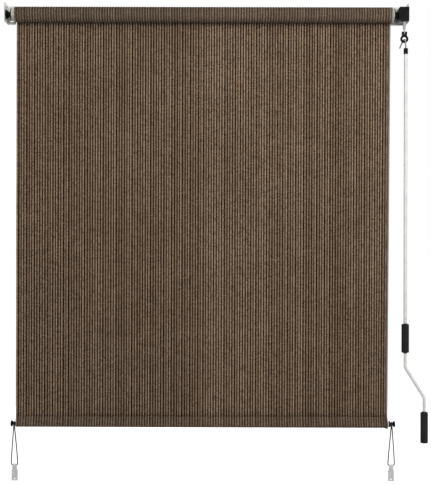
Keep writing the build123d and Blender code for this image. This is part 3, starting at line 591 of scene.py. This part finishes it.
# %% Cut and lay the cloth
PULL_REACH = 70 * MM
PULL_EVEN = 0.35


def set_inputs(modifier, values):
    for item in modifier.node_group.interface.items_tree:
        if item.item_type == "SOCKET" and item.in_out == "INPUT" and item.name in values:
            modifier[item.identifier] = values[item.name]


def cut_cloth(name, length, start, rows, material):
    holder = in_scene(name, bpy.data.meshes.new(name))
    modifier = holder.modifiers.new("cloth", "NODES")
    modifier.node_group = flat_cloth
    columns = round(CLOTH_WIDTH / RIB_PITCH * COLUMNS_PER_RIB) + 1
    set_inputs(modifier, {
        "Width": CLOTH_WIDTH, "Length": length, "Start": start, "Columns": columns,
        "Rows": rows, "Material": material,
    })
    wall = holder.modifiers.new("wall", "SOLIDIFY")
    wall.thickness = CLOTH_THICKNESS
    wall.offset = -1
    return in_scene(name, baked(holder))


def smooth(share):
    """A share from 0 to 1, eased in and out."""
    return share * share * (3 - 2 * share)


def pull(across):
    """How much of the narrowing reaches a place: little until the last ribs on the right."""
    near_edge = np.clip((across - CLOTH_WIDTH + PULL_REACH) / PULL_REACH, 0, 1)
    return PULL_EVEN * across / CLOTH_WIDTH + (1 - PULL_EVEN) * smooth(near_edge)


def lay_cloth(piece, length, line, narrowing=None):
    """Bend a flat cut along a line of (y, z) points. Its left-hand normal is the front."""
    mesh = piece.data
    co = np.zeros(len(mesh.vertices) * 3)
    mesh.vertices.foreach_get("co", co)
    co = co.reshape(-1, 3)
    line = np.array(line)
    run = run_along(line)
    direction = np.gradient(line, run, axis=0)
    direction /= np.linalg.norm(direction, axis=1)[:, None]
    at = np.clip((co[:, 1] + length / 2) / length, 0, 1) * run[-1]
    y = np.interp(at, run, line[:, 0])
    z = np.interp(at, run, line[:, 1])
    dy = np.interp(at, run, direction[:, 0])
    dz = np.interp(at, run, direction[:, 1])
    size = np.hypot(dy, dz)
    across = co[:, 0] + CLOTH_WIDTH / 2
    if narrowing is not None:
        across = across - narrowing(at / run[-1]) * pull(across)
    out = co[:, 2]
    placed = np.stack([CLOTH_LEFT + across, y + out * dz / size, z - out * dy / size], axis=1)
    mesh.vertices.foreach_set("co", placed.ravel())
    mesh.update()
    triangles = sum(len(p.vertices) - 2 for p in mesh.polygons)
    print(piece.name, "line", round(run[-1], 4), "m, triangles", triangles)


# %% [markdown]
# ## Knitted finish
#
# Up close the light rib is a column of small V-shaped stitches, and the valley holds
# thin slanted tapes with darker gaps between them. From a step away these become light
# ribs with uneven dark lines, dotted here and there, and now and then a lighter thread
# across. The valleys, the gaps and the places between the stitches are painted darker:
# painted shade in the knit's recesses. All of it is drawn in metres of cloth from the UV
# map: the place across the rib gives the ribs, and the place along it the stitches. The
# right selvage is a smooth lighter tape with a greyish edge.

# %% Sizes and colours of the knit
STITCH_PITCH = 3.4 * MM
YARN_RISE, YARN_FALL = (0.06, 0.20), (0.54, 0.70)
SELVAGE = 12.0 * MM
SELVAGE_SOFT = 0.4 * MM
FOLD_IN, FOLD_OUT = (3.6 * MM, 4.6 * MM), (6.2 * MM, 7.4 * MM)
GREY_EDGE = (4.5 * MM, 3.2 * MM)
RIB_LIGHT = (0.332, 0.244, 0.174)
RIB_SHADE = (0.088, 0.056, 0.033)
# VALLEY and GAP are painted shade: the near black of the valleys between the ribs and of the
# gaps between the tapes.
VALLEY = (0.021, 0.0085, 0.0015)
GAP = (0.004, 0.0015, 0.0005)
THREAD = (0.150, 0.108, 0.076)
DUSTY = (0.078, 0.062, 0.048)
SELVAGE_COLOUR = (0.205, 0.150, 0.118)
SELVAGE_EDGE = (0.260, 0.235, 0.210)
print("stitch", STITCH_PITCH, "m, selvage", SELVAGE, "m")

# %% [markdown]
# The finish is built up as the knit is. One class says where a place lies in its rib, and
# one function each draws the ribs, the valleys, the dots, the threads and the selvage.
# Each rib has random numbers of its own, so no two are alike.

# %% Cloth finish
class Rib:
    """A place on the cloth: where it lies across its rib, and values that are the rib's own."""

    def __init__(self, f):
        self.u, self.v, _ = f.parts(f.map("cloth"))
        rib = f.math("DIVIDE", self.u, RIB_PITCH)
        self.number = f.math("FLOOR", rib)
        self.own = f.random(self.number)
        self.other = f.random(f.math("ADD", self.number, 57.3))
        shift = f.math("MULTIPLY", f.math("SUBTRACT", self.own, 0.5), 0.16)
        self.phase = f.math("ADD", f.math("FRACT", rib), shift)
        rise, fall = f.ease(self.phase, *YARN_RISE), f.ease(self.phase, *YARN_FALL, 1.0, 0.0)
        self.crest = f.math("MULTIPLY", rise, fall)

    def speckle(self, f, step, scale, seed, detail=1.0):
        """Noise that changes along a rib and from rib to rib."""
        across, along = f.math("MULTIPLY", self.number, step), f.math("MULTIPLY", self.v, scale)
        return f.noise(f.join(across, along, seed), 1.0, detail)


def rib_yarn(f, rib, patches):
    """The column of V-shaped stitches: its colour and its height."""
    from_middle = f.math("ABSOLUTE", f.math("SUBTRACT", rib.phase, 0.375))
    stitch = f.math("DIVIDE", rib.v, STITCH_PITCH)
    stitch = f.math("SUBTRACT", stitch, f.math("MULTIPLY", from_middle, 2.2))
    chevron = f.ease(f.math("PINGPONG", f.math("ADD", stitch, rib.own), 0.5), 0.04, 0.34)
    beads = rib.speckle(f, 5.3, 150.0, rib.own)
    # Between the V stitches the yarn is painted darker: painted shade between the loops. Beads,
    # patches and each rib's own number are random tone.
    light = f.ease(chevron, 0.0, 1.0, 0.62, 1.0)
    light = f.math("MULTIPLY", light, f.ease(beads, 0.30, 0.62, 0.50, 1.12))
    light = f.math("MULTIPLY", light, f.ease(patches, 0.3, 0.7, 0.82, 1.06))
    light = f.math("MULTIPLY", light, f.ease(rib.own, 0.0, 1.0, 0.62, 1.10))
    return f.blend(light, RIB_SHADE, RIB_LIGHT), chevron


def valley_tapes(f, rib):
    """The slanted tapes between ribs and their gaps: their colour and their height."""
    slant = f.math("MULTIPLY", rib.phase, 1.6)
    along = f.math("DIVIDE", rib.v, 2 * STITCH_PITCH)
    one = f.math("PINGPONG", f.math("ADD", along, slant), 0.5)
    two = f.math("PINGPONG", f.math("SUBTRACT", along, slant), 0.5)
    tape = f.ease(f.math("MAXIMUM", one, two), 0.26, 0.44)
    holes = rib.speckle(f, 8.9, 190.0, rib.other)
    share = f.math("MULTIPLY", tape, f.ease(holes, 0.36, 0.58, 1.0, 0.1))
    share = f.math("MULTIPLY", share, f.ease(rib.other, 0.0, 1.0, 0.05, 1.0))
    # Away from the tapes the colour goes to the near-black valley colour, and in the gaps to a
    # still darker one: painted shade in the valley. Which gaps open is random.
    colour = f.blend(share, VALLEY, RIB_SHADE)
    return f.blend(f.ease(holes, 0.54, 0.62), colour, GAP), tape


def with_dots(f, rib, colour):
    """Small dark dots, scattered over the knit."""
    across, along = f.math("MULTIPLY", rib.u, 108.0), f.math("MULTIPLY", rib.v, 190.0)
    dots = f.cells(f.join(across, along, 4.0), 1.0)
    chosen = f.ease(f.parts(dots.outputs["Color"])[0], 0.80, 0.84)
    dot = f.ease(dots.outputs["Distance"], 0.22, 0.42, 1.0, 0.0)
    return f.blend(f.math("MULTIPLY", f.math("MULTIPLY", dot, chosen), 0.85), colour, GAP)


def with_threads(f, rib, patches, threads, colour):
    """Light threads across, more of them in the valleys than on the ribs."""
    across, along = f.math("MULTIPLY", rib.u, 16.0), f.math("MULTIPLY", rib.v, 240.0)
    course = f.ease(f.noise(f.join(across, along, 2.0), 1.0, 1.0), 0.60, 0.70)
    course = f.math("MULTIPLY", course, f.ease(patches, 0.42, 0.56, 0.25, 0.85))
    course = f.math("MULTIPLY", course, f.ease(rib.crest, 0.0, 1.0, threads, 0.4 * threads))
    return f.blend(course, colour, THREAD)


def selvage_tape(f, rib, patches, tuck_shadow):
    """The smooth tape along the right edge, its fold line and its greyish outer edge.
    The fold line is painted crease shade, and a tucked end gets a painted shadow.
    """
    start = CLOTH_WIDTH - SELVAGE
    tape = f.blend(f.ease(patches, 0.3, 0.7, 0.2, 1.0), RIB_SHADE, SELVAGE_COLOUR)
    fold_in = f.ease(rib.u, *(start + x for x in FOLD_IN))
    fold_out = f.ease(rib.u, *(start + x for x in FOLD_OUT), 1.0, 0.0)
    # Along the fold line the tape is painted darker: painted shade in the crease.
    fold = f.math("MULTIPLY", f.math("MULTIPLY", fold_in, fold_out), 0.6)
    tape = f.blend(fold, tape, VALLEY)
    outer = f.ease(rib.u, *(CLOTH_WIDTH - x for x in GREY_EDGE))
    # The last blend darkens the tape towards the valley colour: a painted shadow where the hem's
    # end is tucked in.
    return f.blend(tuck_shadow, f.blend(outer, tape, SELVAGE_EDGE), VALLEY)


def cloth_finish(name, dust, threads, tuck_shadow=0.0):
    """The knit. Its shares are of dusty brown, light threads, and painted shade on the selvage.
    """
    f = Finish(name, Roughness=0.92, Specular_IOR_Level=0.06)
    rib = Rib(f)
    patches = rib.speckle(f, 2.1, 22.0, rib.other, 2.0)
    rib_colour, chevron = rib_yarn(f, rib, patches)
    valley_colour, tape = valley_tapes(f, rib)
    # Off the crest the colour is the valley's: painted shade between the ribs.
    colour = with_dots(f, rib, f.blend(rib.crest, valley_colour, rib_colour))
    colour = with_threads(f, rib, patches, threads, colour)
    wide = f.noise(f.map("cloth"), 3.0, 3.0, 0.6)
    colour = f.blend(f.ease(wide, 0.3, 0.7, 0.0, 0.16), colour, VALLEY)
    colour = f.blend(dust, colour, DUSTY)
    start = CLOTH_WIDTH - SELVAGE
    selvage = f.ease(rib.u, start - SELVAGE_SOFT, start + SELVAGE_SOFT)
    f.colour(f.blend(selvage, colour, selvage_tape(f, rib, patches, tuck_shadow)))
    relief = f.blend(rib.crest, f.join(tape, tape, tape), f.join(chevron, chevron, chevron))
    f.bump(relief, 0.35 * MM, 0.8)
    f.bump(f.noise(f.here(), 2600.0, 2.0), 0.12 * MM, 0.6)
    return f.material


cloth_material = cloth_finish("knitted_cloth", 0.0, 1.0)
reverse_material = cloth_finish("knitted_cloth_reverse", 0.42, 1.4)
print("cloth finish nodes", len(cloth_material.node_tree.nodes))

# %% [markdown]
# ## The cloth that hangs
#
# It leaves the roll at the back and falls straight to the hem. A hanging cloth is never
# quite flat, so its line sways by a fraction of a millimetre. It narrows a little
# towards the bottom on the right, as the photograph shows. When the rail rises, the
# real cloth winds up.

# %% Hanging cloth
PANEL_LOW, PANEL_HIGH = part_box("cloth_panel")
HEM_LOW, HEM_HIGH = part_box("cloth_hem")
PANEL_LENGTH = PANEL_HIGH.z - PANEL_LOW.z
NARROWING = CLOTH_HIGH.x - HEM_HIGH.x - 1.9 * MM
SWAY = 0.15 * MM


def hanging_line(rows=90):
    z = np.linspace(PANEL_HIGH.z, PANEL_LOW.z, rows)
    fall = (PANEL_HIGH.z - z) / PANEL_LENGTH
    y = PANEL_LOW.y + RIB_HEIGHT + SWAY * np.sin(7.0 * fall) * np.sin(math.pi * fall)
    return list(zip(y, z))


panel = cut_cloth("hanging_cloth", PANEL_LENGTH, 0.0, 76, cloth_material)
lay_cloth(panel, PANEL_LENGTH, hanging_line(), narrowing=lambda share: NARROWING * share)
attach(panel, "wall_frame")
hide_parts("cloth_panel")
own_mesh(panel)

# %% [markdown]
# ## The cloth on the roller
#
# Two and a half turns of cloth are wound round the tube. Their line is a spiral of half
# turns that grow by the cloth's thickness, and the ends of the roll show its turns.

# %% Wound cloth
ROLLER_Y, ROLLER_Z = -40.0 * MM, -5.4 * MM
HALF_TURNS = 5
TURN_PITCH = 0.9 * MM
OUTER_RADIUS = CLOTH_HIGH.y - ROLLER_Y - RIB_HEIGHT * 0.6


def spiral_line(points_per_half=34):
    """From the inner end out to the back of the roll, where the hanging cloth begins."""
    total = HALF_TURNS * points_per_half
    turn = np.linspace(HALF_TURNS * math.pi, 0, total + 1)
    radius = OUTER_RADIUS - TURN_PITCH * turn / (2 * math.pi)
    return list(zip(ROLLER_Y + radius * np.cos(turn), ROLLER_Z + radius * np.sin(turn)))


spiral = spiral_line()
spiral_length = float(run_along(spiral)[-1])
roll = cut_cloth("wound_cloth", spiral_length, -spiral_length, 84, reverse_material)
lay_cloth(roll, spiral_length, spiral)
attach(roll, "roller")
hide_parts("cloth_roll")

# %% [markdown]
# ## The hem
#
# The cloth's lower end goes round the bottom bar and is sewn to itself above it, which
# makes a pocket. Its line comes down the front, round the bar, and up the back to the
# seam. The pocket sags by a millimetre or two towards the right, as the photograph shows,
# and the stiff selvage stands out below it at the corner.

# %% Hem pocket
BAR_LOW, BAR_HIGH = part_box("bottom_bar")
BAR_Y, BAR_Z = (BAR_LOW.y + BAR_HIGH.y) / 2, (BAR_LOW.z + BAR_HIGH.z) / 2
HEM_RADIUS = HEM_HIGH.y - BAR_Y - RIB_HEIGHT * 0.5
SEAM_HALF = 0.55 * MM
HEM_LAP = 1.5 * MM
HEM_SAG = 1.6 * MM
CORNER_REACH = 13.0 * MM
CORNER_DROP = 4.2 * MM


def resample(line, count):
    """The same line with points at even steps."""
    y, z = np.array(line).T
    run = run_along(line)
    at = np.linspace(0, run[-1], count)
    return list(zip(np.interp(at, run, y), np.interp(at, run, z)))


def hem_line(points=40, steps=120):
    """Down the front, round under the bar and up the back."""
    drop = HEM_HIGH.z - BAR_Z
    lean = math.acos((HEM_RADIUS - SEAM_HALF) / drop)
    front_top = (BAR_Y - SEAM_HALF * math.sin(lean), HEM_HIGH.z + HEM_LAP)
    round_bar = [
        (BAR_Y + HEM_RADIUS * math.cos(a), BAR_Z + HEM_RADIUS * math.sin(a))
        for a in np.linspace(math.pi / 2 + lean, 2.5 * math.pi - lean, points)
    ]
    back_top = (BAR_Y + SEAM_HALF * math.sin(lean) + CLOTH_THICKNESS, HEM_HIGH.z - SEAM_HALF)
    return resample([front_top, *round_bar, back_top], steps)


def droop(piece):
    """Let the pocket sag a little towards the right, and its stiff corner stand out below."""
    mesh = piece.data
    right = max(v.co.x for v in mesh.vertices)
    for vertex in mesh.vertices:
        depth = min(max((HEM_HIGH.z - vertex.co.z) / (HEM_HIGH.z - HEM_LOW.z), 0), 1)
        corner = min(max((vertex.co.x - right + CORNER_REACH) / CORNER_REACH, 0), 1)
        sag = HEM_SAG * (vertex.co.x - CLOTH_LEFT) / CLOTH_WIDTH
        vertex.co.z -= depth * (sag + CORNER_DROP * smooth(corner))


hem_path = hem_line()
hem_length = float(run_along(hem_path)[-1])
# On the hem the selvage is painted darker: a painted shadow where the pocket's end curls in.
hem_material = cloth_finish("knitted_cloth_hem", 0.24, 1.4, tuck_shadow=0.62)
hem = cut_cloth("hem_pocket", hem_length, PANEL_LENGTH, 44, hem_material)
lay_cloth(hem, hem_length, hem_path, narrowing=lambda share: NARROWING)
droop(hem)
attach(hem, "rail")
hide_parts("cloth_hem")
print("hem length", round(hem_length, 4))

# %% [markdown]
# ## Stitches along the hem
#
# The seam is a long row of equal stitches, the plainest case for instances: one small
# thread, set at even steps on a line by Geometry Nodes, with a little random turn. The
# tree ends in Realize Instances, and the mesh is read back before it rides on its body.

# %% Stitch tree and seam
STITCH_STEP = 4.6 * MM
SEAM_RISE = 1.0 * MM
SEAM_OUT = 1.0 * MM
STITCH_TURN = 0.12
STITCH_DIP = 5.0


def stitch_tree():
    metres = "NodeSocketFloat"
    t = Tree(
        "seam_stitches", Count=("NodeSocketInt", 10), Step=(metres, STITCH_STEP),
        Long=(metres, 3.2 * MM), Thick=(metres, 0.45 * MM), Seed=("NodeSocketInt", 4),
        Material=("NodeSocketMaterial", None),
    )
    g = t.given
    offset = t.add("ShaderNodeCombineXYZ", {"X": g["Step"]})[0]
    line = t.add("GeometryNodeMeshLine", {"Count": g["Count"], "Offset": offset})[0]
    thread = t.add("GeometryNodeMeshCylinder", {
        "Vertices": 6, "Side Segments": 4, "Radius": g["Thick"], "Depth": g["Long"],
    })[0]
    place = t.add("ShaderNodeSeparateXYZ", {"Vector": t.add("GeometryNodeInputPosition")[0]})
    share = t.math("DIVIDE", place[2], g["Long"])
    square = t.math("MULTIPLY", share, share)
    dip = t.math("MULTIPLY", square, t.math("MULTIPLY", g["Thick"], STITCH_DIP))
    arch = t.add("ShaderNodeCombineXYZ", {"Y": dip})[0]
    thread = t.add("GeometryNodeSetPosition", {"Geometry": thread, "Offset": arch})[0]
    low = t.add("ShaderNodeCombineXYZ", {"Y": math.pi / 2 - STITCH_TURN})[0]
    high = t.add("ShaderNodeCombineXYZ", {"Y": math.pi / 2 + STITCH_TURN})[0]
    turn = t.add(
        "FunctionNodeRandomValue", {0: low, 1: high, "Seed": g["Seed"]}, data_type="FLOAT_VECTOR"
    )[0]
    row = t.add("GeometryNodeInstanceOnPoints", {
        "Points": line, "Instance": thread, "Rotation": turn,
    })[0]
    t.end(row)
    return t.tree


def thread_finish():
    f = Finish("seam_thread", Roughness=0.7)
    twist = f.math("PINGPONG", f.math("MULTIPLY", f.parts(f.here())[0], 2200.0), 0.5)
    # Between the turns of the twist the thread is painted darker: painted shade in its grooves.
    f.colour(f.blend(f.ease(twist, 0.0, 0.5), (0.040, 0.029, 0.021), (0.185, 0.140, 0.105)))
    f.bump(twist, 0.1 * MM)
    return f.material


def seam(name, tree, y, z, material):
    holder = in_scene(name, bpy.data.meshes.new(name))
    modifier = holder.modifiers.new("stitches", "NODES")
    modifier.node_group = tree
    start = CLOTH_LEFT + STITCH_STEP
    count = int((HEM_HIGH.x - start) / STITCH_STEP)
    set_inputs(modifier, {"Count": count, "Material": material})
    mesh = baked(holder)
    mesh.transform(Matrix.Translation((start, y, z)))
    piece = in_scene(name, mesh)
    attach(piece, "rail")
    print(name, "stitches", count)


stitches = stitch_tree()
thread_material = thread_finish()
seam_y, seam_z = hem_path[0][0] - SEAM_OUT, HEM_HIGH.z + SEAM_RISE
seam("hem_seam_front", stitches, seam_y, seam_z, thread_material)

# %% [markdown]
# ## Galvanised and zinc-plated steel
#
# The brackets and wall hooks are bent from galvanised sheet. Its zinc freezes in flat
# crystals, the spangle, that differ a little in brightness and roughness. Cell noise is
# that pattern: every cell takes one random tone. Old zinc is dull and scatters part of
# the light, so this finish is only partly metallic. Screws, the yoke and the hook's wire
# are plated bright instead, and show only fine drawing lines.

# %% Metal finishes
ZINC_SHEEN = 0.45


def spangled_steel(name, dark, bright):
    f = Finish(name, Metallic=ZINC_SHEEN)
    here = f.here()
    cells = f.cells(here, 240.0)
    tone = f.parts(cells.outputs["Color"])[0]
    cloud = f.noise(here, 60.0, 3.0)
    light = f.math("ADD", f.ease(tone, 0.0, 1.0, 0.0, 0.6), f.ease(cloud, 0.3, 0.7, 0.0, 0.4))
    f.colour(f.blend(light, dark, bright))
    f.rough(f.ease(light, 0.0, 1.0, 0.42, 0.28))
    f.bump(f.noise(here, 900.0, 2.0), 0.05 * MM, 0.35)
    return f.material


def plated_steel(name, dark, light, rough):
    f = Finish(name, Metallic=1.0)
    here = f.here()
    drawn = f.noise(f.stretch(here, (900.0, 900.0, 60.0)), 1.0, 2.0)
    cloud = f.noise(here, 140.0, 3.0)
    tone = f.math("ADD", f.math("MULTIPLY", drawn, 0.6), f.math("MULTIPLY", cloud, 0.4))
    f.colour(f.blend(f.ease(tone, 0.3, 0.7), dark, light))
    f.rough(f.ease(cloud, 0.3, 0.7, rough * 0.8, rough * 1.3))
    f.bump(drawn, 0.02 * MM, 0.4)
    return f.material


galvanised = spangled_steel("galvanised_steel", (0.50, 0.505, 0.485), (0.74, 0.75, 0.72))
hook_steel = spangled_steel("hook_steel", grey(0.50), grey(0.70))
# name, dark and light colour, roughness
bright_zinc = plated_steel("bright_zinc", grey(0.34), grey(0.52), 0.26)
screw_zinc = plated_steel("screw_zinc", (0.42, 0.38, 0.28), (0.60, 0.55, 0.42), 0.24)
wire_steel = plated_steel("wire_steel", grey(0.22), grey(0.36), 0.26)
tube_zinc = plated_steel("tube_zinc", grey(0.36), (0.56, 0.56, 0.55), 0.30)
turned = plated_steel("turned_steel", (0.20, 0.20, 0.21), (0.34, 0.34, 0.35), 0.3)
print("metals ready")

# %% [markdown]
# ## Plastics and paint
#
# Housing, plugs, spools, eye and grips are black mouldings. A moulding has a fine skin,
# slightly cloudy gloss and, on grips, a spark-eroded grain. The crank's tube and rod
# have a smooth light grey coat that is a little dull.

# %% Plastic and paint finishes
def moulding(name, dark, light, rough, grain, gloss):
    f = Finish(name, Specular_IOR_Level=gloss)
    here = f.here()
    cloud = f.noise(here, 55.0, 3.0)
    skin = f.noise(here, 1500.0, 2.0, 0.6)
    f.colour(f.blend(f.ease(cloud, 0.3, 0.7), dark, light))
    f.rough(f.ease(cloud, 0.25, 0.75, rough - 0.07, rough + 0.07))
    f.bump(skin, grain)
    return f.material


def coated_metal():
    f = Finish("grey_coat", Metallic=0.25)
    here = f.here()
    cloud = f.noise(here, 30.0, 3.0)
    peel = f.noise(here, 420.0, 2.0)
    f.colour(f.blend(f.ease(cloud, 0.3, 0.7), (0.62, 0.62, 0.61), (0.69, 0.69, 0.68)))
    f.rough(f.ease(peel, 0.3, 0.7, 0.38, 0.5))
    f.bump(peel, 0.05 * MM, 0.5)
    return f.material


# name, dark and light colour, roughness, depth of the grain, gloss
black = moulding("black_moulding", grey(0.002), grey(0.006), 0.36, 0.05 * MM, 0.12)
grip_black = moulding("grip_moulding", grey(0.005), grey(0.011), 0.45, 0.10 * MM, 0.18)
bush_black = moulding("bush_moulding", grey(0.006), grey(0.014), 0.38, 0.03 * MM, 0.3)
ivory_dark, ivory_light = (0.62, 0.58, 0.48), (0.74, 0.70, 0.60)
natural = moulding("natural_moulding", ivory_dark, ivory_light, 0.45, 0.03 * MM, 0.5)
grey_coat = coated_metal()

FINISH_OF = {
    galvanised: ["left_bracket", "right_bracket"],
    hook_steel: ["left_wall_hook", "right_wall_hook"],
    bright_zinc: ["drive_yoke"],
    screw_zinc: ["bush_screws", "housing_screws", "cover_screws"],
    wire_steel: ["crank_hook"],
    tube_zinc: ["roller_tube", "bottom_bar"],
    turned: ["idler_pin", "wheel_washer", "worm_shaft", "yoke_pin", "eye_pin", "ferrule_pin"],
    black: ["idler_bush", "gear_housing", "gear_cover", "idler_plug", "drive_plug", "crank_eye",
            "crank_ferrule", "grip_collars", "handle_cap", "left_spool", "right_spool"],
    bush_black: ["worm_bush"],
    natural: ["worm_wheel"],
    grip_black: ["upper_grip", "lower_grip"],
    grey_coat: ["crank_tube", "crank_rod"],
}
for finish, names in FINISH_OF.items():
    for name in names:
        dress(name, finish)
print("dressed", sum(len(n) for n in FINISH_OF.values()), "nodes")

# %% [markdown]
# ## Sizes
#
# The box of the dressed shade is set beside the frame's box, to show that nothing grew.

# %% Print the sizes
low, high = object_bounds()
print("cad", [round(v, 4) for v in (*cad_low, *cad_high)])
print("visual", [round(v, 4) for v in (*low, *high)])
